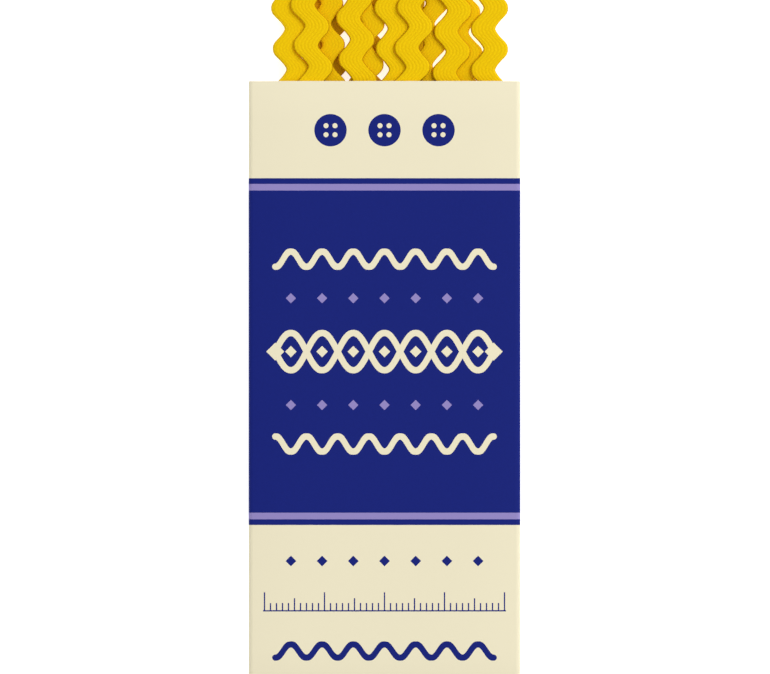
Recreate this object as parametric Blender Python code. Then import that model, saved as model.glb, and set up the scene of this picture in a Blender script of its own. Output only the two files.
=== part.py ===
"""A flat hank of baby ric rac, held round the middle by a band of folded card.

The hank lies on its back: +Z is up, out of its face, and +Y runs along the braid. One length of wavy
braid goes to and fro, six loops beyond the band's top edge and seven beyond its bottom edge. The band
hides both cut ends. The origin is under the middle of the band, on the surface it lies on.
"""

import math
from collections import namedtuple

import bmesh
import bpy
from mathutils import Vector

MM = 0.001

# The braid, a quarter of an inch wide over its waves, four yards long.
TRIM_LENGTH = 3657.6 * MM
TRIM_THICKNESS = 0.9 * MM
FRONT_WIDTH = 3.85 * MM
BACK_WIDTH = 3.5 * MM
WAVE_HEIGHT = 2.3 * MM
WAVE_PITCH = 6.88 * MM
PEAK_SPREAD = 0.95
SHORTEST_EDGE = WAVE_PITCH / 12

# The card band.
BAND_WIDTH = 45.3 * MM
BAND_LENGTH = 101.6 * MM
CARD_THICKNESS = 0.45 * MM
BAND_HEIGHT = 5.2 * MM
FOLD_RADIUS = 1.5 * MM
FOLD_STEPS = 4

# How the layers lie: tightly under the band, and down on the surface beyond it.
CLEARANCE = 0.3 * MM
LEVEL_STEP = 1.25 * MM
HELD_BOTTOM = CARD_THICKNESS + CLEARANCE + 0.15 * MM
SETTLE_START = 1.5 * MM
SETTLE_END = 14 * MM

# The loops' tips.
LOOP_COUNT = 13
BEND_RADIUS = LEVEL_STEP
BEND_STEPS = 6
RISE_LENGTH = 13 * MM

# The plain core that joins the turns under the band.
CORE_INSET = 8 * MM
CORE_WIDTH = 42.6 * MM
CORE_MARGIN = 0.15 * MM
ROOT_DEPTH = 3 * MM

TRIM_COLOUR = (0.87, 0.56, 0.01, 1.0)
CARD_COLOUR = (0.87, 0.81, 0.58, 1.0)

# A run of braid beside the band's edge: where it crosses the edge, how it leans there, the distance past
# the edge of one of its right-hand peaks, where it is at the loop's tip, and its layer from the bottom.
Run = namedtuple("Run", "edge_x lean peak tip_x level")
# A loop: the front run, the back run, and how much further than the average it reaches.
Loop = namedtuple("Loop", "front back extra")

TOP_LOOPS = (
    Loop(Run(-11.5, -0.100, 2.50, -14.3, 2), Run(-15.6, -0.049, 1.50, -17.2, 1), 0.6),
    Loop(Run(-4.5, -0.054, 0.17, -8.0, 1), Run(-9.5, -0.050, 6.20, -11.2, 0), -0.5),
    Loop(Run(1.8, -0.030, 2.00, -1.3, 1), Run(-3.3, -0.030, 2.50, -4.5, 0), 1.5),
    Loop(Run(4.3, 0.088, 2.25, 5.2, 2), Run(2.7, 0.040, 6.33, 2.0, 0), -0.3),
    Loop(Run(11.0, 0.044, 4.92, 11.7, 1), Run(7.4, 0.060, 6.33, 8.5, 0), 1.9),
    Loop(Run(17.5, 0.000, 5.17, 18.2, 1), Run(13.5, 0.030, 5.50, 15.0, 0), -2.1),
)
BOTTOM_LOOPS = (
    Loop(Run(-18.2, -0.010, 3.20, -19.2, 1), Run(-16.9, 0.000, 3.10, -17.4, 0), -1.0),
    Loop(Run(-12.1, -0.020, 2.80, -12.9, 1), Run(-10.8, -0.010, 1.00, -11.3, 0), 1.2),
    Loop(Run(-6.0, 0.015, 3.50, -6.3, 1), Run(-4.9, 0.000, 4.30, -5.0, 0), -0.2),
    Loop(Run(0.1, -0.010, 3.00, 0.1, 1), Run(1.1, 0.000, 2.00, 1.3, 0), 1.8),
    Loop(Run(6.2, 0.020, 2.60, 6.4, 1), Run(6.9, 0.010, 1.90, 7.3, 0), -1.9),
    Loop(Run(12.3, -0.015, 3.30, 12.8, 1), Run(12.8, 0.000, 6.30, 13.4, 0), 0.7),
    Loop(Run(18.3, 0.010, 2.90, 19.2, 1), Run(18.7, 0.000, 4.10, 19.3, 0), -0.6),
)


def clear_scene():
    """Removes every object, so that only the hank and its band are left at the end."""
    for existing in list(bpy.data.objects):
        bpy.data.objects.remove(existing, do_unlink=True)


def make_material(name, colour, roughness):
    """A Principled material of one colour."""
    material = bpy.data.materials.new(name)
    material.use_nodes = True
    shader = material.node_tree.nodes["Principled BSDF"]
    shader.inputs["Base Color"].default_value = colour
    shader.inputs["Roughness"].default_value = roughness
    shader.inputs["Metallic"].default_value = 0.0
    return material


def add_object(name, bm, material):
    """Puts a bmesh into the scene as a named object."""
    bmesh.ops.recalc_face_normals(bm, faces=bm.faces)
    mesh = bpy.data.meshes.new(name)
    bm.to_mesh(mesh)
    bm.free()
    mesh.materials.append(material)
    made = bpy.data.objects.new(name, mesh)
    bpy.context.scene.collection.objects.link(made)
    return made


def smooth_step(value, start, end):
    """Rises gently from 0 at start to 1 at end."""
    part = min(max((value - start) / (end - start), 0.0), 1.0)
    return part * part * (3 - 2 * part)


def height_of(level, past):
    """The braid's middle height: held under the band, then settled on the surface beyond it."""
    settled = TRIM_THICKNESS / 2 + level * LEVEL_STEP
    held = HELD_BOTTOM + settled
    return held + (settled - held) * smooth_step(past, SETTLE_START, SETTLE_END)


def drift(run, past, reach):
    """The sideways place of a run's middle: a curve from its lean at the edge to its place at the tip."""
    edge_x, tip_x = run.edge_x * MM, run.tip_x * MM
    part = past / reach
    if part <= 0:
        return edge_x
    ease = part * part * (3 - 2 * part)
    return edge_x + (tip_x - edge_x) * ease + run.lean * reach * part * (1 - part) ** 2


class LoopPath:
    """One loop of braid beyond the band: up the front run, round the bend and down the back run."""

    def __init__(self, loop):
        mean_reach = (TRIM_LENGTH / LOOP_COUNT - (math.pi - 2) * BEND_RADIUS - BAND_LENGTH) / 2
        self.loop = loop
        self.reach = mean_reach + loop.extra * MM - BEND_RADIUS
        self.root = -CORE_INSET - ROOT_DEPTH
        self.straight = self.reach - self.root
        self.bend = math.pi * BEND_RADIUS
        self.length = 2 * self.straight + self.bend
        first = loop.front.peak * MM - self.root
        last = self.length - (loop.back.peak * MM - self.root)
        self.first_peak = first
        self.pitch = (last - first) / round((last - first) / WAVE_PITCH)

    def phase(self, along):
        """The wave's angle, 0 at a right-hand peak."""
        return 2 * math.pi * (along - self.first_peak) / self.pitch

    def at(self, along, sideways, lift):
        """The point at a distance along the braid, off its middle sideways and through its thickness."""
        front, back = self.loop.front, self.loop.back
        round_bend = (along - self.straight) / self.bend
        if round_bend <= 0:
            past = self.root + along
            return self.on_run(front, past, sideways, lift)
        if round_bend >= 1:
            past = self.root + self.length - along
            return self.on_run(back, past, sideways, -lift)
        angle = math.pi * round_bend
        radius = BEND_RADIUS + lift
        middle_x = front.tip_x * MM + (back.tip_x - front.tip_x) * MM * smooth_step(round_bend, 0, 1)
        bend_y = self.reach + radius * math.sin(angle)
        bend_z = TRIM_THICKNESS / 2 + BEND_RADIUS + radius * math.cos(angle)
        return Vector((middle_x + sideways, bend_y, bend_z))

    def on_run(self, run, past, sideways, lift):
        """A point on the front or the back run, which come together at the bend's two ends."""
        to_bend = smooth_step(past, self.reach - RISE_LENGTH, self.reach)
        tip_height = TRIM_THICKNESS / 2 + (2 * BEND_RADIUS if run is self.loop.front else 0)
        height = height_of(run.level, past)
        height += (tip_height - height) * to_bend
        return Vector((drift(run, past, self.reach) + sideways, past, height + lift))

    def width_at(self, along):
        """The braid's width, a little less on the back runs, which lie pressed and half turned."""
        round_bend = (along - self.straight) / self.bend
        return FRONT_WIDTH + (BACK_WIDTH - FRONT_WIDTH) * smooth_step(round_bend, 0, 1)


def edge_offset(path, along, side):
    """How far the braid's edge is from its middle: broad outer peaks, and tight inner valleys."""
    turned = (path.phase(along) + (0 if side > 0 else math.pi)) % (2 * math.pi)
    from_peak = min(turned, 2 * math.pi - turned)
    part = max(from_peak - PEAK_SPREAD, 0) / (math.pi - PEAK_SPREAD)
    outermost = (path.width_at(along) + WAVE_HEIGHT) / 2
    return side * (outermost - WAVE_HEIGHT * part)


def edge_stations(path, side):
    """Where one edge has its corners: two at each peak, one in each valley, and steps round the bend."""
    stations = [0.0, path.length]
    stations += [path.straight + path.bend * i / BEND_STEPS for i in range(BEND_STEPS + 1)]
    own_peak = path.first_peak + (0 if side > 0 else path.pitch / 2)
    spread = PEAK_SPREAD / (2 * math.pi) * path.pitch
    first = math.floor(-own_peak / path.pitch) - 1
    last = math.ceil((path.length - own_peak) / path.pitch) + 1
    near = SHORTEST_EDGE
    for wave in range(first, last + 1):
        peak = own_peak + wave * path.pitch
        for place in (peak - spread, peak + spread, peak + path.pitch / 2):
            in_bend = path.straight - near < place < path.straight + path.bend + near
            if near < place < path.length - near and not in_bend:
                stations.append(place)
    return sorted(stations)


def add_braid(bm, path, mirrored):
    """Adds one loop of braid to the bmesh: two wavy edges, zipped into a flat band with a thickness."""
    half = TRIM_THICKNESS / 2
    turn = -1 if mirrored else 1
    edges = []
    for side in (-1, 1):
        edge = []
        for along in edge_stations(path, side):
            offset = edge_offset(path, along, side)
            corners = []
            for lift in (-half, half):
                point = path.at(along, offset, lift)
                point.y = turn * (point.y + BAND_LENGTH / 2)
                corners.append(bm.verts.new(point))
            edge.append((along, *corners))
        edges.append(edge)
    left, right = edges
    for edge in edges:
        for (_, low, high), (_, next_low, next_high) in zip(edge, edge[1:]):
            bm.faces.new((low, next_low, next_high, high))
    for end in (0, -1):
        bm.faces.new((left[end][1], left[end][2], right[end][2], right[end][1]))
    i = j = 0
    while i < len(left) - 1 or j < len(right) - 1:
        step_left = j == len(right) - 1 or (i < len(left) - 1 and left[i + 1][0] <= right[j + 1][0])
        ahead = left[i + 1] if step_left else right[j + 1]
        for layer in (1, 2):
            bm.faces.new((left[i][layer], right[j][layer], ahead[layer]))
        i, j = (i + 1, j) if step_left else (i, j + 1)


def make_loops(material):
    """All the loops of braid as one hidden helper, to be joined to the core."""
    bm = bmesh.new()
    for loops, mirrored in ((TOP_LOOPS, False), (BOTTOM_LOOPS, True)):
        for loop in loops:
            add_braid(bm, LoopPath(loop), mirrored)
    loops_object = add_object("loops", bm, material)
    loops_object.hide_render = True
    loops_object.display_type = "WIRE"
    return loops_object


def make_hank():
    """The ric rac: wavy loops joined by a plain core where the band hides it."""
    material = make_material("yellow_braid", TRIM_COLOUR, 0.85)
    bottom = HELD_BOTTOM - CORE_MARGIN
    top = HELD_BOTTOM + 2 * LEVEL_STEP + TRIM_THICKNESS + CORE_MARGIN
    length = BAND_LENGTH - 2 * CORE_INSET
    bm = bmesh.new()
    bmesh.ops.create_cube(bm, size=1.0)
    bmesh.ops.scale(bm, vec=(CORE_WIDTH, length, top - bottom), verts=bm.verts)
    bmesh.ops.translate(bm, vec=(0, 0, (top + bottom) / 2), verts=bm.verts)
    hank = add_object("hank", bm, material)
    union = hank.modifiers.new("join loops", "BOOLEAN")
    union.operation = "UNION"
    union.solver = "EXACT"
    union.object = make_loops(material)
    return hank


def rounded_outline(width, low, high, radius):
    """The corners of a flat rounded rectangle in X and Z, going round once."""
    corners = []
    half = width / 2 - radius
    centres = ((half, high - radius), (-half, high - radius), (-half, low + radius), (half, low + radius))
    for quarter, (x, z) in enumerate(centres):
        for step in range(FOLD_STEPS + 1):
            angle = math.pi / 2 * (quarter + step / FOLD_STEPS)
            corners.append((x + radius * math.cos(angle), z + radius * math.sin(angle)))
    return corners


def make_card_band():
    """The band: a flat tube of card, with soft folds down both sides, open at the top and the bottom."""
    outer = rounded_outline(BAND_WIDTH, 0, BAND_HEIGHT, FOLD_RADIUS)
    inner = rounded_outline(
        BAND_WIDTH - 2 * CARD_THICKNESS,
        CARD_THICKNESS,
        BAND_HEIGHT - CARD_THICKNESS,
        FOLD_RADIUS - CARD_THICKNESS,
    )
    bm = bmesh.new()
    rings = []
    for outline, y in ((outer, -1), (outer, 1), (inner, 1), (inner, -1)):
        rings.append([bm.verts.new((x, y * BAND_LENGTH / 2, z)) for x, z in outline])
    for ring, next_ring in zip(rings, rings[1:] + rings[:1]):
        for i, corner in enumerate(ring):
            following = (i + 1) % len(ring)
            bm.faces.new((corner, ring[following], next_ring[following], next_ring[i]))
    return add_object("card_band", bm, make_material("cream_card", CARD_COLOUR, 0.6))


def main():
    """Builds the hank and its band."""
    clear_scene()
    make_hank()
    make_card_band()


main()
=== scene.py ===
"""The looks of a banded hank of baby ric rac, lying face up on a pale floor.
"""

from __future__ import annotations

import logging
import math
from dataclasses import dataclass
from enum import Enum
from typing import Any

import bmesh
import bpy
import numpy as np
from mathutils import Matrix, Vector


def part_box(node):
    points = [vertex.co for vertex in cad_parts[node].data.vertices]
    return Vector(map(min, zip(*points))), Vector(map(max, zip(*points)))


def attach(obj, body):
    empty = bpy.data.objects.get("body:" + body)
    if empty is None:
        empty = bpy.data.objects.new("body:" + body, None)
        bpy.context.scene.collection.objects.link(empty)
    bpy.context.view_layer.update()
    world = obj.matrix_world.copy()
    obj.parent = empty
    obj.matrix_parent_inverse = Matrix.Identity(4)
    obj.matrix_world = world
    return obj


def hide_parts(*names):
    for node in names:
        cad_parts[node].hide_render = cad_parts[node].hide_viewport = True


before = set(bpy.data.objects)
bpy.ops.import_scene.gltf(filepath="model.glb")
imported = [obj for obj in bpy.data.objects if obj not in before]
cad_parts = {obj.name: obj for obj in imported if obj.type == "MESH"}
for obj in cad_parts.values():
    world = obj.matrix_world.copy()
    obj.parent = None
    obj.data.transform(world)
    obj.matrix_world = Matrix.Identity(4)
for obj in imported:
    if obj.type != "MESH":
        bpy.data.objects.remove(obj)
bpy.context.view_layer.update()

LOG = logging.getLogger("ric_rac_hank")
MM = 0.001
TURN = 2 * math.pi
Colour = tuple[float, float, float]


class Signal:
    """A shader socket that takes part in Python sums, each of which adds a Math node."""

    def __init__(self, graph: Graph, socket: bpy.types.NodeSocket) -> None:
        """Wraps one output socket of a graph."""
        self.graph = graph
        self.socket = socket

    def __add__(self, other: Signal | float) -> Signal:
        """This value plus another."""
        return self.graph.math("ADD", self, other)

    def __sub__(self, other: Signal | float) -> Signal:
        """This value less another."""
        return self.graph.math("SUBTRACT", self, other)

    def __rsub__(self, other: float) -> Signal:
        """A number less this value."""
        return self.graph.math("SUBTRACT", other, self)

    def __mul__(self, other: Signal | float) -> Signal:
        """This value times another."""
        return self.graph.math("MULTIPLY", self, other)

    def __truediv__(self, other: Signal | float) -> Signal:
        """This value over another."""
        return self.graph.math("DIVIDE", self, other)

    __radd__ = __add__
    __rmul__ = __mul__

    def __lt__(self, other: Signal | float) -> Signal:
        """1 where this value is under another, 0 elsewhere."""
        return self.graph.math("LESS_THAN", self, other)

    def __gt__(self, other: Signal | float) -> Signal:
        """1 where this value is over another, 0 elsewhere."""
        return self.graph.math("GREATER_THAN", self, other)

    def __abs__(self) -> Signal:
        """This value without its sign."""
        return self.graph.math("ABSOLUTE", self)

    def fraction(self) -> Signal:
        """What is left of this value past a whole number."""
        return self.graph.math("FRACT", self)

    def floor(self) -> Signal:
        """The whole number below this value."""
        return self.graph.math("FLOOR", self)

    def cosine(self) -> Signal:
        """The cosine of this value, in radians."""
        return self.graph.math("COSINE", self)

    def root(self) -> Signal:
        """The square root of this value."""
        return self.graph.math("SQRT", self)

    def least(self, other: Signal | float) -> Signal:
        """The lesser of this value and another."""
        return self.graph.math("MINIMUM", self, other)

    def most(self, other: Signal | float) -> Signal:
        """The greater of this value and another."""
        return self.graph.math("MAXIMUM", self, other)

    def near(self, middle: float, reach: float) -> Signal:
        """1 where this value is within a reach of a middle, 0 elsewhere."""
        return abs(self - middle) < reach

    def steps(self, pitch: float) -> Signal:
        """The signed distance to the nearest multiple of a pitch."""
        return ((self / pitch + 0.5).fraction() - 0.5) * pitch


class Graph:
    """The node tree of one material."""

    def __init__(self, name: str) -> None:
        """Makes a material with a Principled shader."""
        self.material = bpy.data.materials.new(name)
        self.material.use_nodes = True
        self.tree = self.material.node_tree
        self.shader = self.tree.nodes["Principled BSDF"]

    def node(self, kind: str, settings: dict[str, Any] | None = None, **sockets: Any) -> bpy.types.Node:
        """Adds a node.

        Args:
            kind: the node's type, without its ShaderNode prefix.
            settings: its properties, set before its sockets.
            **sockets: values or links, by socket name with _ for a space, or by index as i0, i1.

        Returns:
            The new node.
        """
        made = self.tree.nodes.new("ShaderNode" + kind)
        for key, value in (settings or {}).items():
            setattr(made, key, value)
        for key, value in sockets.items():
            numbered = key[0] == "i" and key[1:].isdigit()
            self.feed(made.inputs[int(key[1:]) if numbered else key.replace("_", " ")], value)
        return made

    def feed(self, socket: bpy.types.NodeSocket, value: Any) -> None:
        """Links a signal to a socket, or sets the socket's own value."""
        if isinstance(value, Signal):
            self.tree.links.new(value.socket, socket)
        elif isinstance(value, tuple) and len(value) == 3 and socket.type == "RGBA":
            socket.default_value = (*value, 1.0)
        else:
            socket.default_value = value

    def math(self, operation: str, *values: Signal | float) -> Signal:
        """Adds a Math node and returns its result."""
        made = self.node("Math", {"operation": operation}, **{f"i{i}": v for i, v in enumerate(values)})
        return Signal(self, made.outputs[0])

    def mix(self, share: Signal | float, start: Signal | Colour, end: Signal | Colour) -> Signal:
        """Blends two colours by a share from 0 to 1."""
        made = self.node("Mix", {"data_type": "RGBA"}, i0=share, i6=start, i7=end)
        return Signal(self, made.outputs[2])

    def attribute(self, name: str) -> Signal:
        """A number stored on the mesh."""
        return Signal(self, self.node("Attribute", {"attribute_name": name}).outputs["Fac"])

    def noise(self, place: Signal, scale: float, detail: float = 3.0) -> Signal:
        """Smooth noise about 0.5 at a place."""
        made = self.node("TexNoise", None, Vector=place, Scale=scale, Detail=detail)
        return Signal(self, made.outputs[0])

    def vector(self, *parts: Signal | float) -> Signal:
        """A vector of three parts."""
        made = self.node("CombineXYZ", None, **{f"i{i}": part for i, part in enumerate(parts)})
        return Signal(self, made.outputs[0])

    def coordinate(self, name: str) -> Signal:
        """A Texture Coordinate output, such as Object or UV."""
        return Signal(self, self.node("TexCoord").outputs[name])

    def split(self, vector: Signal) -> tuple[Signal, Signal, Signal]:
        """The three parts of a vector."""
        made = self.node("SeparateXYZ", None, Vector=vector)
        return tuple(Signal(self, made.outputs[i]) for i in range(3))

    def dress(self, **sockets: Any) -> bpy.types.Material:
        """Feeds the shader's sockets and returns the finished material."""
        for key, value in sockets.items():
            self.feed(self.shader.inputs[key.replace("_", " ")], value)
        return self.material

    def bump(self, height: Signal, distance: float, strength: float = 1.0) -> Signal:
        """A normal tilted by a height from 0 to 1, whose full rise is the distance in metres."""
        made = self.node("Bump", None, Height=height, Distance=distance, Strength=strength)
        return Signal(self, made.outputs[0])


@dataclass(frozen=True)
class YarnFinish:
    """Matt yellow yarn, braided into fine ridges that follow the wave."""

    crest: Colour = (0.93, 0.632, 0.002)
    # groove: the yarn darkened by painted shade in the grooves between ridges and stitches
    groove: Colour = (0.80, 0.485, 0.001)
    # deep_shade: painted shade, the dark amber that lower turns, cut ends and strand edges are darkened
    # towards
    deep_shade: Colour = (0.52, 0.25, 0.001)
    # first_level_shade: the share of painted shade on the lowest level of turns
    first_level_shade: float = 0.13
    edge_shade: float = 0.7
    ridges: int = 7
    stitch_length: float = 0.62
    stitch_slant: float = 0.55
    fibres: float = 6.0
    relief: float = 0.05 * MM

    def material(self) -> bpy.types.Material:
        """Builds the yarn: ridges and slanting stitches by the braid's own UV map, in fine fibre, with
        painted shade on lower turns, cut ends, strand edges and grooves.
        """
        graph = Graph("yellow_yarn")
        across, along, _ = graph.split(graph.coordinate("UV"))
        ridge = across * self.ridges
        in_ridge = ridge.fraction() - 0.5
        row = ridge.floor()
        crown = 1 - in_ridge * in_ridge * 4
        slant = (row * 0.5).fraction() * 4 - 1
        phase = along / self.stitch_length + in_ridge * slant * self.stitch_slant + row * 0.5
        stitch = ((phase * TURN).cosine() * 0.5 + 0.5).root()
        place = graph.coordinate("Object")
        fibre = graph.noise(graph.vector(phase * self.fibres, in_ridge * 1.5 + row * 7, 0.0), 1.0, 2.0)
        patch = graph.noise(place, 140.0, 2.0)
        height = crown * 0.5 + stitch * crown * 0.38 + fibre * 0.22
        # Painted shade and highlight: ridge crowns and stitch tops lighter towards crest, grooves darker
        # towards groove, with random fibre and patch tone mixed in
        shade_and_tone = crown * 0.45 + stitch * 0.32 + fibre * 0.4 + patch * 0.35 - 0.36
        colour = graph.mix(shade_and_tone.least(1.0).most(0.0), self.groove, self.crest)
        # Painted shade: turns low in the stack, the cut ends and runs given buried_shade darken towards
        # deep_shade, as if in the shadow of the turns above
        level = graph.attribute("level")
        buried_shade = (level * -1 + 1).least(1.0).most(0.0) * self.first_level_shade
        buried_shade = buried_shade + (level * -1).most(0.0).least(1.0) * (0.9 - self.first_level_shade)
        # Painted shade along each strand's outer edges, where its neighbours shade it
        edge = (abs(across * 2 - 1) * 12 - 11).most(0.0) * self.edge_shade
        colour = graph.mix(buried_shade.most(edge), colour, self.deep_shade)
        normal = graph.bump(height, self.relief, 0.75)
        return graph.dress(
            Base_Color=colour, Roughness=0.85, Normal=normal, Specular_IOR_Level=0.08
        )


@dataclass(frozen=True)
class CardFinish:
    """Smooth cream card printed with a dark blue panel and rows of plain stitched-looking motifs."""

    cream: Colour = (0.883, 0.815, 0.591)
    blue: Colour = (0.0078, 0.0155, 0.175)
    lilac: Colour = (0.30, 0.25, 0.55)
    raw: Colour = (0.86, 0.83, 0.74)
    panel_top: float = 34.6
    panel_bottom: float = -23.2
    panel_middle: float = 5.7
    motif_pitch: float = 5.2
    row_half_width: float = 18.2
    stroke: float = 0.52
    stripe: float = 0.55

    def wave(self, x: Signal, y: Signal, middle: float, rise: float, pitch: float) -> Signal:
        """A waving line along X, rising to a crest (or with a negative rise a trough) at X = 0."""
        angle = x * (TURN / pitch)
        steep = (angle - math.pi / 2).cosine() * (rise * TURN / pitch)
        off = abs(y - middle - angle.cosine() * rise) / (steep * steep + 1).root()
        end_x = abs(x) - self.row_half_width
        end_y = y - middle - rise * math.cos(self.row_half_width * TURN / pitch)
        round_end = (end_x * end_x + end_y * end_y).root() < self.stroke
        return ((off < self.stroke) * x.near(0.0, self.row_half_width)).most(round_end)

    def diamonds(self, x: Signal, y: Signal, middle: float, size: float, half_width: float) -> Signal:
        """A row of small diamonds along X."""
        return (abs(x.steps(self.motif_pitch)) + abs(y - middle) < size) * x.near(0.0, half_width + size)

    def buttons(self, x: Signal, y: Signal, middle: float) -> Signal:
        """A row of three round buttons, each with four holes."""
        spacing, rim, hole_place, hole = 9.0, 2.7, 0.75, 0.42
        dx, dy = x.steps(spacing), y - middle
        disc = (dx * dx + dy * dy).root() < rim
        hx, hy = abs(dx) - hole_place, abs(dy) - hole_place
        holes = (hx * hx + hy * hy).root() < hole
        return disc * (1 - holes) * x.near(0.0, spacing * 1.5)

    def ruler(self, x: Signal, y: Signal, base: float) -> Signal:
        """A measuring edge: a line with a short mark at each millimetre and long ones at 5 and 10."""
        half, line = 20.25, 0.11
        marks = x.steps(1.0).near(0.0, line) * (y < base + 1.3)
        fives = x.steps(5.0).near(0.0, line) * (y < base + 2.1)
        tens = x.steps(10.0).near(0.0, line) * (y < base + 3.1)
        upright = marks.most(fives).most(tens) * (y > base)
        return upright.most(y.near(base, line)) * x.near(0.0, half)

    def material(self, front_above: float, half_length: float) -> bpy.types.Material:
        """Builds the printed card.

        Args:
            front_above: the height in mm above which the surface is the printed face.
            half_length: half the band's length in mm, where its raw cut edges are.

        Returns:
            The card's material.
        """
        graph = Graph("printed_card")
        place = graph.coordinate("Object")
        x, y, z = (part * (1 / MM) for part in graph.split(place))
        front = z > front_above
        grain = graph.noise(place, 2600.0, 4.0)
        cloud = graph.noise(place, 45.0, 3.0)
        panel = (y < self.panel_top) * (y > self.panel_bottom)
        edge_lines = y.near(self.panel_top - 1.5, self.stripe).most(
            y.near(self.panel_bottom + 1.5, self.stripe)
        )
        middle, pitch = self.panel_middle, self.motif_pitch
        light = self.wave(x, y, middle + 15.4, 1.25, pitch)
        light = light.most(self.wave(x, y, middle - 15.4, -1.25, pitch))
        light = light.most(self.wave(x, y, middle, 3.1, pitch * 2))
        light = light.most(self.wave(x, y, middle, -3.1, pitch * 2))
        light = light.most(self.diamonds(x, y, middle, 0.95, pitch * 3))
        light = light.most(abs(abs(x) - self.row_half_width) + abs(y - middle) < 1.5)
        lilac = self.diamonds(x, y, middle + 8.9, 0.85, pitch * 3)
        lilac = lilac.most(self.diamonds(x, y, middle - 8.9, 0.85, pitch * 3))
        dark = self.buttons(x, y, 42.6)
        dark = dark.most(self.ruler(x, y, -37.5))
        dark = dark.most(self.wave(x, y, -44.2, 1.1, pitch))
        dark = dark.most(self.diamonds(x, y, -29.2, 0.9, pitch * 3))
        cream = graph.mix(cloud * 0.5, self.cream, tuple(part * 0.965 for part in self.cream))
        blue = graph.mix(grain * 0.5, self.blue, tuple(part * 1.35 for part in self.blue))
        ground = graph.mix(dark * front, cream, blue)
        inked = graph.mix((light * front).most(0.0), blue, cream)
        inked = graph.mix((lilac * front).most(edge_lines), inked, self.lilac)
        colour = graph.mix(panel, ground, inked)
        cut = abs(y) > half_length - 0.04
        colour = graph.mix(cut, colour, self.raw)
        height = grain * 0.6 + cloud * 0.4
        return graph.dress(
            Base_Color=colour,
            Roughness=0.46 + grain * 0.14,
            Specular_IOR_Level=0.06,
            Normal=graph.bump(height, 0.02 * MM, 0.5),
        )


@dataclass(frozen=True)
class FloorFinish:
    """A plain white table top."""

    white: Colour = (0.93, 0.93, 0.93)
    glow: float = 0.72

    def material(self) -> bpy.types.Material:
        """Builds the floor's material."""
        graph = Graph("white_table")
        return graph.dress(
            Base_Color=self.white,
            Roughness=0.9,
            Specular_IOR_Level=0.1,
            Emission_Color=self.white,
            Emission_Strength=self.glow,
        )


def deselect_all() -> None:
    """Leaves nothing selected, so that the next operator acts on its own new piece alone."""
    if bpy.context.object and bpy.context.object.mode != "OBJECT":
        bpy.ops.object.mode_set(mode="OBJECT")
    bpy.ops.object.select_all(action="DESELECT")


def named(name: str) -> bpy.types.Object:
    """Names the object that an operator has just made, and its mesh."""
    made = bpy.context.object
    made.name = name
    made.data.name = name
    return made


def smooth_step(value: np.ndarray, start: float, end: float) -> np.ndarray:
    """Rises gently from 0 at start to 1 at end."""
    part = np.clip((value - start) / (end - start), 0.0, 1.0)
    return part * part * (3 - 2 * part)


@dataclass(frozen=True)
class Run:
    """One straight pass of braid where it leaves the band, in mm.

    Args:
        edge_x: its middle at the band's edge.
        lean: its slope there.
        peak: how far past the edge its wave first reaches to the right.
        tip_x: its middle where its loop bends.
        level: its place in the stack, from 0 for the lowest.
        buried_shade: how much more painted shade than its level its yarn gets near the band.
    """

    edge_x: float
    lean: float
    peak: float
    tip_x: float
    level: int
    buried_shade: float = 0.0


@dataclass(frozen=True)
class Loop:
    """A loop of braid beyond the band: its front and back runs, and how far past the mean it goes."""

    front: Run
    back: Run
    extra: float


class End(Enum):
    """The end of the band that a loop is at, as the sign of its Y."""

    TOP = 1
    BOTTOM = -1


LOOPS: dict[End, tuple[Loop, ...]] = {
    End.TOP: (
        Loop(Run(-11.5, -0.100, 2.50, -14.3, 2), Run(-15.45, -0.049, 2.02, -17.2, 1), 0.6),
        Loop(Run(-4.4, -0.054, 0.17, -8.0, 1), Run(-9.3, -0.045, 6.20, -11.2, 0), -0.5),
        Loop(Run(1.8, -0.030, 2.00, -1.3, 1), Run(-3.2, 0.040, 2.80, -4.5, 0), 1.5),
        Loop(Run(4.3, 0.088, 2.25, 5.2, 2), Run(3.45, 0.040, 6.33, 2.2, 0, 0.9), -0.3),
        Loop(Run(11.0, 0.044, 4.92, 11.7, 1), Run(7.05, 0.060, 6.20, 8.5, 0), 1.9),
        Loop(Run(17.5, 0.000, 5.35, 18.2, 1), Run(13.85, -0.095, 4.75, 15.0, 0), -2.1),
    ),
    End.BOTTOM: (
        Loop(Run(-18.2, -0.010, 3.20, -19.2, 1), Run(-16.9, 0.000, 3.10, -17.4, 0), -1.0),
        Loop(Run(-12.1, -0.020, 2.80, -12.9, 1), Run(-10.8, -0.010, 1.00, -11.3, 0), 1.2),
        Loop(Run(-6.0, 0.015, 3.50, -6.3, 1), Run(-4.9, 0.000, 4.30, -5.0, 0), -0.2),
        Loop(Run(0.1, -0.010, 3.00, 0.1, 1), Run(1.1, 0.000, 2.00, 1.3, 0), 1.8),
        Loop(Run(6.2, 0.020, 2.60, 6.4, 1), Run(6.9, 0.010, 1.90, 7.3, 0), -1.9),
        Loop(Run(12.3, -0.015, 3.30, 12.8, 1), Run(12.8, 0.000, 6.30, 13.4, 0), 0.7),
        Loop(Run(18.3, 0.010, 2.90, 19.2, 1), Run(18.7, 0.000, 4.10, 19.3, 0), -0.6),
    ),
}

TAILS = (Run(-9.2, -0.010, 2.75, -9.2, -1), Run(-3.1, -0.010, 6.0, -3.1, -1))


@dataclass(frozen=True)
class Mate:
    """A run that carries another on beyond the other end of the band, and its wave's pitch in mm."""

    run: Run
    pitch: float


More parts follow.
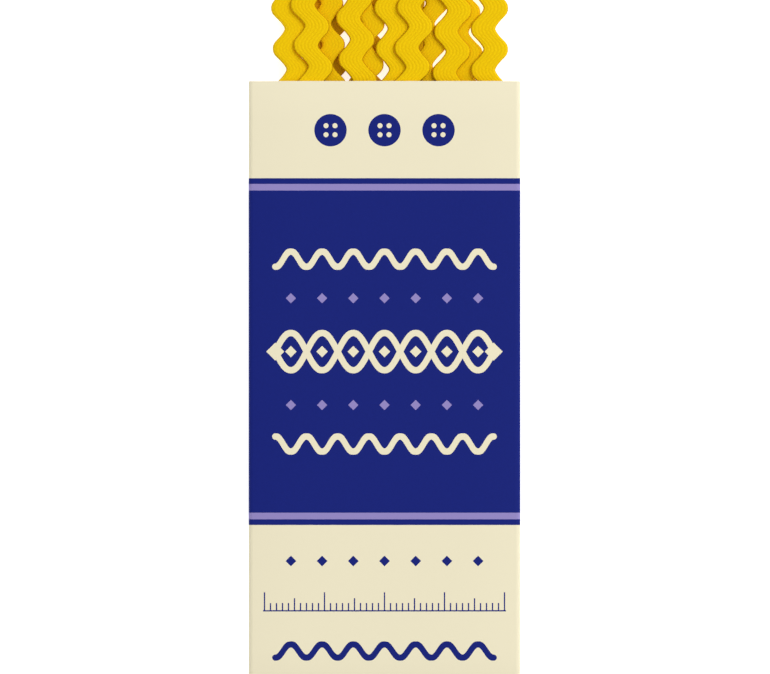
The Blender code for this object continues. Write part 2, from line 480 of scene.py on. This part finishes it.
@dataclass
class Braid:
    """The ric rac: its section, its wave, and the loops in which it is wound. All lengths are in mm.

    Each loop goes from the middle of the band round its tip and back. The two cut ends are carried
    through under the band and lie beneath the other turns at its top.
    """

    band_length: float
    trim_length: float = 3657.6
    thickness: float = 0.9
    front_width: float = 4.12
    back_width: float = 3.78
    diagonal_slimming: float = 0.24
    wave_height: float = 2.14
    wave_pitch: float = 6.88
    cross_turn: float = 0.12
    loop_count: int = 13
    bend_radius: float = 1.25
    rise_length: float = 13.0
    level_step: float = 0.95
    held_lift: float = 0.9
    settle: tuple[float, float] = (1.5, 14.0)
    tail_length: float = 21.0
    tail_settle: tuple[float, float] = (23.0, 38.0)
    ridges: int = 7
    ridge_height: float = 0.06
    face_steps: int = 21
    back_steps: int = 14
    shown_steps: int = 15
    hidden_steps: int = 8
    bend_rows: int = 18
    shown_depth: float = 6.0
    roll_degrees: float = 2.2
    seed: int = 11

    def reach(self, loop: Loop) -> float:
        """How far past the band's edge a loop's bend starts."""
        turned = (math.pi - 2) * self.bend_radius
        mean = (self.trim_length / self.loop_count - turned - self.band_length) / 2
        return mean + loop.extra - self.bend_radius

    def pitch(self, loop: Loop) -> float:
        """The wave's pitch along a loop, so that a whole number of waves joins its two runs' peaks."""
        distance = 2 * self.reach(loop) + math.pi * self.bend_radius - loop.front.peak - loop.back.peak
        return distance / round(distance / self.wave_pitch)

    def mates(self, end: End, number: int) -> tuple[Mate, Mate]:
        """What carries on a loop's front and back runs beyond the band's other end."""
        top, bottom = LOOPS[End.TOP], LOOPS[End.BOTTOM]
        if end is End.TOP:
            front, back = bottom[number + 1], bottom[number]
            return Mate(front.front, self.pitch(front)), Mate(back.back, self.pitch(back))
        first, last = (Mate(tail, self.wave_pitch) for tail in TAILS)
        if number > 0:
            first = Mate(top[number - 1].front, self.pitch(top[number - 1]))
        if number < len(top):
            last = Mate(top[number].back, self.pitch(top[number]))
        return first, last

    def lift(self, end: End, past: np.ndarray) -> np.ndarray:
        """How far the turns are held up off their rest: by the card, and at the top by the tails."""
        held = self.held_lift * (1 - smooth_step(past, *self.settle))
        on_tails = self.level_step * (1 - smooth_step(past, *self.tail_settle))
        share = smooth_step(past, -self.band_length, 0.0)
        return held + on_tails * (share if end is End.TOP else 1 - share) * (past < 0) + (
            on_tails * (past >= 0) if end is End.TOP else 0.0
        )

    def follow(
        self, end: End, run: Run, mate: Mate, past: np.ndarray, own: float, reach: float
    ) -> tuple[np.ndarray, np.ndarray, np.ndarray]:
        """Follows one run from the middle of the band to its loop's bend.

        Args:
            end: the end of the band that the run is at.
            run: the run's own values.
            mate: the run that carries it on beyond the band's other end.
            past: distances past the band's edge, negative under it.
            own: the wave's pitch in this run's loop.
            reach: how far past the edge the bend starts.

        Returns:
            The number of waves since a peak, the sideways place of the middle, and its height.
        """
        far = mate.run
        share = smooth_step(past, -self.band_length, 0.0)
        edge_x = far.edge_x + (run.edge_x - far.edge_x) * share
        level = far.level + (run.level - far.level) * share
        turns = run.peak / own + far.peak / mate.pitch
        held = self.band_length / (round(self.band_length / self.wave_pitch + turns) - turns)
        waves = np.where(past < 0, past / held - run.peak / own, (past - run.peak) / own)
        part = np.clip(past / reach, 0.0, 1.0)
        ease = part * part * (3 - 2 * part)
        inside = np.minimum(past, 0.0)
        x = edge_x + (run.tip_x - edge_x) * ease + run.lean * reach * part * (1 - part) ** 2
        x += run.lean * inside * np.exp(inside / 6.0)
        z = self.thickness / 2 + level * self.level_step + self.lift(end, past)
        return waves, x, z

    def rows(self, reach: float) -> np.ndarray:
        """Where along a loop its sections lie: close round the bend, and wider apart under the band."""
        half = self.band_length / 2
        depth = -self.shown_depth
        hidden = max(int((half + depth) / self.wave_pitch * self.hidden_steps), 2)
        shown = int((reach - depth) / self.wave_pitch * self.shown_steps)
        bend = math.pi * self.bend_radius
        straight = half + reach
        up = np.concatenate(
            [
                np.linspace(0.0, half + depth, hidden, endpoint=False),
                np.linspace(half + depth, straight, shown, endpoint=False),
            ]
        )
        turn = np.linspace(straight, straight + bend, self.bend_rows, endpoint=False)
        return np.concatenate([up, turn, (2 * straight + bend - up)[::-1]])

    def section(self) -> tuple[np.ndarray, np.ndarray]:
        """One ring round the braid: its place across from -1 to 1, and its lift in mm."""
        face = np.linspace(-1.0, 1.0, self.face_steps, endpoint=False)
        back = np.linspace(1.0, -1.0, self.back_steps + 1)
        across = np.concatenate([face, back])
        side = np.concatenate([np.ones(len(face)), -np.ones(len(back))])
        side[len(face)] = side[0]
        dome = np.sqrt(np.maximum(1 - np.abs(across) ** 7, 0.0))
        in_ridge = np.mod((across + 1) / 2 * self.ridges + 1e-9, 1.0)
        ridge = 1 - (2 * in_ridge - 1) ** 2
        lift = self.thickness / 2 * dome + self.ridge_height * (ridge - 0.6) * dome
        return across, lift * side

    def spread(
        self, waves: np.ndarray, width: np.ndarray, own: float
    ) -> tuple[np.ndarray, np.ndarray, np.ndarray]:
        """Spreads the section over the wave.

        Args:
            waves: the number of waves since a peak at each section.
            width: the braid's width at each section.
            own: the wave's pitch.

        Returns:
            How far each point is moved along, how far sideways, and how far it is from the middle.
        """
        across, _ = self.section()
        angle = waves * TURN
        rise = self.wave_height / 2
        slope = np.arctan(-rise * np.sin(angle) * TURN / own)
        cross = slope * self.cross_turn
        half = width / 2 * (1 - self.diagonal_slimming * np.sin(angle) ** 2) / np.cos(slope - cross)
        off = across[None, :] * half[:, None]
        sideways = rise * np.cos(angle)[:, None] + off * np.cos(cross)[:, None]
        return -off * np.sin(cross)[:, None], sideways, off

    def loop_points(self, end: End, number: int) -> tuple[np.ndarray, np.ndarray, np.ndarray]:
        """Works out one loop's surface.

        Args:
            end: the end of the band that the loop is at.
            number: which loop it is there, from the left.

        Returns:
            The points, one row of them for each section, in mm, with each row's distance along and the
            level of its run in the stack, lowered near the band by its buried_shade for extra painted
            shade.
        """
        loop = LOOPS[end][number]
        mates = self.mates(end, number)
        reach, own = self.reach(loop), self.pitch(loop)
        half, bend = self.band_length / 2, math.pi * self.bend_radius
        straight = half + reach
        total = 2 * straight + bend
        rows = self.rows(reach)
        front = self.follow(end, loop.front, mates[0], rows - half, own, reach)[0]
        back = self.follow(end, loop.back, mates[1], total - rows - half, own, reach)[0]
        waves = np.where(rows < straight + bend / 2, front, -back)
        turned = smooth_step(rows, straight, straight + bend)
        width = self.front_width + (self.back_width - self.front_width) * turned
        shift, sideways, off = self.spread(waves, width, own)
        along = np.clip(rows[:, None] + shift, 0.0, total)
        roll = self.roll(number + 10 * (end is End.TOP), along / total)
        lift = self.section()[1][None, :] + off * np.sin(roll)
        # Painted shade: near the band a run's buried_shade lowers the level kept on the mesh for the yarn's
        # shade
        near = 1 - smooth_step(np.minimum(rows, total - rows) - half, 14.0, 28.0)
        level = np.where(
            rows < straight,
            loop.front.level - loop.front.buried_shade * near,
            loop.back.level - loop.back.buried_shade * near,
        )
        return self.place(loop, end, mates, along, sideways, lift), rows, level

    def tail_points(self, number: int) -> tuple[np.ndarray, np.ndarray, np.ndarray]:
        """Works out one cut end, from the middle of the band to past its top edge, as for a loop."""
        run = TAILS[number]
        last = len(LOOPS[End.BOTTOM]) - 1
        carried = LOOPS[End.BOTTOM][last if number else 0]
        mate = Mate(carried.back if number else carried.front, self.pitch(carried))
        half = self.band_length / 2
        hidden = np.linspace(-half, -self.shown_depth, 60, endpoint=False)
        shown = int((self.tail_length + self.shown_depth) / self.wave_pitch * self.shown_steps)
        rows = np.concatenate([hidden, np.linspace(-self.shown_depth, self.tail_length, shown)])
        waves, _, _ = self.follow(End.TOP, run, mate, rows, self.wave_pitch, 100.0)
        shift, sideways, off = self.spread(waves, np.full(len(rows), self.back_width), self.wave_pitch)
        past = np.clip(rows[:, None] + shift, -half, self.tail_length)
        _, x, z = self.follow(End.TOP, run, mate, past, self.wave_pitch, 100.0)
        roll = self.roll(number + 30, past / self.tail_length)
        lift = self.section()[1][None, :] + off * np.sin(roll) * 0.5
        points = np.stack([x + sideways, past + half, z + lift], axis=-1)
        # The cut end's level of -1 paints it in deep shade near the band, fading out towards its end
        return points, rows, run.level * (1 - smooth_step(rows, 13.0, self.tail_length))

    def roll(self, number: int, part: np.ndarray) -> np.ndarray:
        """A slow roll of the braid about its length, in radians, different in each loop."""
        draw = np.random.default_rng(self.seed + number * 7)
        roll = np.zeros_like(part)
        for waves in (3, 7, 13):
            roll += np.sin(part * TURN * waves + draw.uniform(0, TURN)) * draw.uniform(0.3, 1.0)
        return np.radians(self.roll_degrees) * roll / 2

    def place(
        self,
        loop: Loop,
        end: End,
        mates: tuple[Mate, Mate],
        along: np.ndarray,
        sideways: np.ndarray,
        lift: np.ndarray,
    ) -> np.ndarray:
        """Puts points given along, across and through a loop's braid into space, in mm."""
        reach, own = self.reach(loop), self.pitch(loop)
        half, bend = self.band_length / 2, math.pi * self.bend_radius
        straight = half + reach
        total = 2 * straight + bend
        points = np.zeros((*along.shape, 3))
        before, after = along <= straight, along >= straight + bend
        runs = (
            (loop.front, mates[0], along - half, 1.0, before),
            (loop.back, mates[1], total - along - half, -1.0, after),
        )
        for run, mate, past, face, here in runs:
            _, x, z = self.follow(end, run, mate, past, own, reach)
            tip_z = self.thickness / 2 + (2 * self.bend_radius if face > 0 else 0.0)
            z = z + (tip_z - z) * smooth_step(past, reach - self.rise_length, reach)
            for axis, value in enumerate((x + sideways, past, z + face * lift)):
                points[..., axis][here] = value[here]
        share = np.clip((along - straight) / bend, 0.0, 1.0)
        radius = self.bend_radius + lift
        middle = loop.front.tip_x + (loop.back.tip_x - loop.front.tip_x) * smooth_step(share, 0.0, 1.0)
        turn_y = reach + radius * np.sin(math.pi * share)
        turn_z = self.thickness / 2 + self.bend_radius + radius * np.cos(math.pi * share)
        in_bend = ~(before | after)
        for axis, value in enumerate((middle + sideways, turn_y, turn_z)):
            points[..., axis][in_bend] = value[in_bend]
        points[..., 1] = end.value * (points[..., 1] + half)
        return points

    def build(
        self,
        name: str,
        points: np.ndarray,
        rows: np.ndarray,
        level: np.ndarray,
        material: bpy.types.Material,
    ) -> bpy.types.Object:
        """Models one length of braid.

        A flat grid is rolled round the braid's section and along its path, its seam is merged, and its
        two ends are closed.

        Args:
            name: the piece's name.
            points: its surface, one row of points for each section, in mm.
            rows: the distance along of each row, in mm.
            level: each row's level in the stack, kept on the mesh for the yarn's shade.
            material: the yarn.

        Returns:
            The finished piece.
        """
        across, _ = self.section()
        row_count, ring_count = points.shape[:2]
        deselect_all()
        bpy.ops.mesh.primitive_grid_add(
            x_subdivisions=ring_count - 1, y_subdivisions=row_count - 1, size=1.0, calc_uvs=True
        )
        piece = named(name)
        mesh = piece.data
        flat = np.empty(len(mesh.vertices) * 3)
        mesh.vertices.foreach_get("co", flat)
        flat = flat.reshape(-1, 3)
        ring = np.rint((flat[:, 0] + 0.5) * (ring_count - 1)).astype(int)
        row = np.rint((flat[:, 1] + 0.5) * (row_count - 1)).astype(int)
        mesh.vertices.foreach_set("co", (points[row, ring] * MM).ravel())
        corners = np.empty(len(mesh.loops), dtype=np.int32)
        mesh.loops.foreach_get("vertex_index", corners)
        uv = np.column_stack([(across[ring[corners]] + 1) / 2, rows[row[corners]]])
        mesh.uv_layers.active.data.foreach_set("uv", uv.ravel())
        mesh.attributes.new("level", "FLOAT", "POINT").data.foreach_set("value", level[row])
        bpy.ops.object.mode_set(mode="EDIT")
        bpy.ops.mesh.select_all(action="SELECT")
        bpy.ops.mesh.remove_doubles(threshold=0.001 * MM)
        bpy.ops.mesh.select_all(action="SELECT")
        bpy.ops.mesh.fill_holes(sides=0)
        bpy.ops.mesh.select_all(action="SELECT")
        bpy.ops.mesh.normals_make_consistent(inside=False)
        bpy.ops.object.mode_set(mode="OBJECT")
        bpy.ops.object.shade_smooth()
        mesh.materials.append(material)
        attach(piece, "root")
        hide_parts("hank")
        return piece


@dataclass
class CardBand:
    """The band: one strip of card folded round the hank and glued to itself on the back, in mm."""

    width: float
    length: float
    height: float
    thickness: float = 0.4
    fold_radius: float = 0.8
    fold_steps: int = 8
    overlap: float = 6.0
    overlap_gap: float = 0.04
    ramp: float = 2.2
    crown: float = 0.12
    cross_cuts: int = 16
    edge_round: float = 0.06
    same_place: float = 1e-3

    def folds(self) -> list[tuple[float, float]]:
        """The strip's outer face in X and Z, from the inner flap round to the outer flap."""
        lifted = self.thickness + self.overlap_gap
        half, radius = self.width / 2, self.fold_radius
        path = [(-self.overlap, lifted), (self.overlap + 0.4, lifted), (self.overlap + self.ramp, 0.0)]
        corners = (
            (half - radius, radius, -90),
            (half - radius, self.height - radius, 0),
            (radius - half, self.height - radius, 90),
            (radius - half, radius, 180),
        )
        for number, (x, z, first) in enumerate(corners):
            for step in range(self.fold_steps + 1):
                angle = math.radians(first + 90 * step / self.fold_steps)
                path.append((x + radius * math.cos(angle), z + radius * math.sin(angle)))
            if number == 1:
                path += [(half * share, self.height) for share in (0.6, 0.3, 0.0, -0.3, -0.6)]
        path.append((self.overlap, 0.0))
        return path

    def build(self, material: bpy.types.Material) -> bpy.types.Object:
        """Models the band: a strip extruded round its folds, crowned a little and made as thick as card."""
        path = self.folds()
        deselect_all()
        bpy.ops.mesh.primitive_plane_add(size=1.0, location=(0.0, 0.0, 0.0))
        piece = named("folded_card")
        (first_x, first_z), (next_x, next_z) = path[:2]
        for vertex in piece.data.vertices:
            started = vertex.co.x < 0
            vertex.co.x = (first_x if started else next_x) * MM
            vertex.co.z = (first_z if started else next_z) * MM
            vertex.co.y = math.copysign(self.length / 2 * MM, vertex.co.y)
        bpy.ops.object.mode_set(mode="EDIT")
        bpy.ops.mesh.select_mode(type="EDGE")
        bpy.ops.mesh.select_all(action="DESELECT")
        self.select_leading_edge(piece, next_x, next_z)
        for (x, z), (ahead_x, ahead_z) in zip(path[1:], path[2:]):
            step = ((ahead_x - x) * MM, 0.0, (ahead_z - z) * MM)
            bpy.ops.mesh.extrude_region_move(TRANSFORM_OT_translate={"value": step})
        for cut in range(1, self.cross_cuts):
            bpy.ops.mesh.select_all(action="SELECT")
            y = (cut / self.cross_cuts - 0.5) * self.length * MM
            bpy.ops.mesh.bisect(plane_co=(0.0, y, 0.0), plane_no=(0.0, 1.0, 0.0))
        bpy.ops.mesh.select_all(action="SELECT")
        bpy.ops.mesh.normals_make_consistent(inside=False)
        bpy.ops.object.mode_set(mode="OBJECT")
        self.swell(piece)
        self.face_outwards(piece)
        solid = piece.modifiers.new("card thickness", "SOLIDIFY")
        solid.thickness = self.thickness * MM
        solid.offset = -1.0
        solid.use_even_offset = True
        edges = piece.modifiers.new("soft cut edges", "BEVEL")
        edges.width = self.edge_round * MM
        edges.segments = 2
        edges.limit_method = "ANGLE"
        edges.angle_limit = math.radians(50)
        for modifier in (solid.name, edges.name):
            bpy.ops.object.modifier_apply(modifier=modifier)
        bpy.ops.object.shade_smooth_by_angle(angle=math.radians(35))
        piece.data.materials.append(material)
        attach(piece, "root")
        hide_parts("card_band")
        return piece

    def select_leading_edge(self, piece: bpy.types.Object, x: float, z: float) -> None:
        """Selects the edge of the strip that the next fold grows from."""
        bm = bmesh.from_edit_mesh(piece.data)
        for edge in bm.edges:
            edge.select = all(
                math.hypot(v.co.x / MM - x, v.co.z / MM - z) < self.same_place for v in edge.verts
            )
        bmesh.update_edit_mesh(piece.data)

    def swell(self, piece: bpy.types.Object) -> None:
        """Crowns the front face where the wound braid pushes it out."""
        for vertex in piece.data.vertices:
            x, y, z = (part / MM for part in vertex.co)
            if z > self.height - 0.01:
                across = math.cos(math.pi * x / self.width)
                lengthwise = 0.7 + 0.3 * math.cos(math.pi * y / self.length)
                vertex.co.z = (z + self.crown * across * lengthwise) * MM

    def face_outwards(self, piece: bpy.types.Object) -> None:
        """Turns the strip's faces so that the printed side looks out of the band."""
        mesh = piece.data
        top = max(mesh.polygons, key=lambda face: face.center.z)
        if top.normal.z < 0:
            mesh.flip_normals()


@dataclass(frozen=True)
class Studio:
    """A white table, soft light from above and to the right, and a camera straight above. In metres."""

    photo_width: float = 770.0
    photo_height: float = 674.0
    pixels_per_mm: float = 6.0
    card_middle_px: float = 384.5
    card_top_px: float = 81.0
    camera_distance: float = 1.3
    sensor: float = 36.0

    def build_floor(self) -> None:
        """Lays the floor just under the hank."""
        deselect_all()
        bpy.ops.mesh.primitive_plane_add(size=12.0, location=(0.0, 0.0, -0.02 * MM))
        floor = named("floor")
        floor.data.materials.append(FloorFinish().material())

    def build_camera(self, card_top: float, face_height: float) -> None:
        """Sets the camera straight above, so that the card fills the place it has in the photograph.

        Args:
            card_top: the Y of the card's top edge in mm.
            face_height: the height of the card's face in mm.
        """
        centre_x = (self.photo_width / 2 - self.card_middle_px) / self.pixels_per_mm
        centre_y = card_top + (self.card_top_px - self.photo_height / 2) / self.pixels_per_mm
        bpy.ops.object.camera_add(
            location=(centre_x * MM, centre_y * MM, self.camera_distance + face_height * MM),
            rotation=(0.0, 0.0, 0.0),
        )
        camera = bpy.context.object
        camera.name = "camera"
        field = self.photo_width / self.pixels_per_mm * MM
        camera.data.sensor_width = self.sensor
        camera.data.lens = self.sensor * self.camera_distance / field
        camera.data.clip_start = 0.05
        camera.data.clip_end = 100.0
        bpy.context.scene.camera = camera

    def build_light(self) -> None:
        """Hangs a broad soft light overhead, a nearer key to the upper right, and a white sky."""
        lamps = (
            ("overhead", (0.0, 0.05, 1.1), 1.5, 3.5),
            ("key", (0.84, 0.60, 1.24), 1.0, 13.2),
        )
        for name, place, size, power in lamps:
            bpy.ops.object.light_add(type="AREA", location=place)
            lamp = bpy.context.object
            lamp.name = name
            lamp.data.shape = "DISK"
            lamp.data.size = size
            lamp.data.energy = power
            aim = -np.array(place)
            lamp.rotation_euler = (
                math.atan2(math.hypot(aim[0], aim[1]), -aim[2]),
                0.0,
                math.atan2(-aim[0], aim[1]) if abs(aim[0]) + abs(aim[1]) > 0 else 0.0,
            )
        world = bpy.data.worlds.new("white_sky")
        bpy.context.scene.world = world
        world.use_nodes = True
        sky = world.node_tree.nodes["Background"]
        sky.inputs["Color"].default_value = (1.0, 1.0, 1.0, 1.0)
        sky.inputs["Strength"].default_value = 0.4
        settings = bpy.context.scene.view_settings
        settings.view_transform = "Standard"
        settings.look = "None"


def main() -> None:
    """Builds the braid, the band and the studio in turn."""
    logging.basicConfig(level=logging.INFO, format="%(name)s: %(message)s")
    low, high = (np.array(corner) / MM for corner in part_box("card_band"))
    width, length, height = high - low
    yarn = YarnFinish().material()
    braid = Braid(band_length=length)
    lengths = {
        f"{end.name.lower()}_loop_{number + 1}": braid.loop_points(end, number)
        for end, loops in LOOPS.items()
        for number in range(len(loops))
    }
    lengths |= {f"cut_end_{number + 1}": braid.tail_points(number) for number in range(len(TAILS))}
    for name, (points, rows, level) in lengths.items():
        piece = braid.build(name, points, rows, level, yarn)
        LOG.info("%s: %d faces", piece.name, len(piece.data.polygons))
    card = CardFinish().material(front_above=height - 0.9, half_length=length / 2)
    band = CardBand(width=width, length=length, height=height).build(card)
    LOG.info("%s: %d faces", band.name, len(band.data.polygons))
    studio = Studio()
    studio.build_floor()
    studio.build_camera(card_top=high[1], face_height=height)
    studio.build_light()


if __name__ == "__main__":
    main()
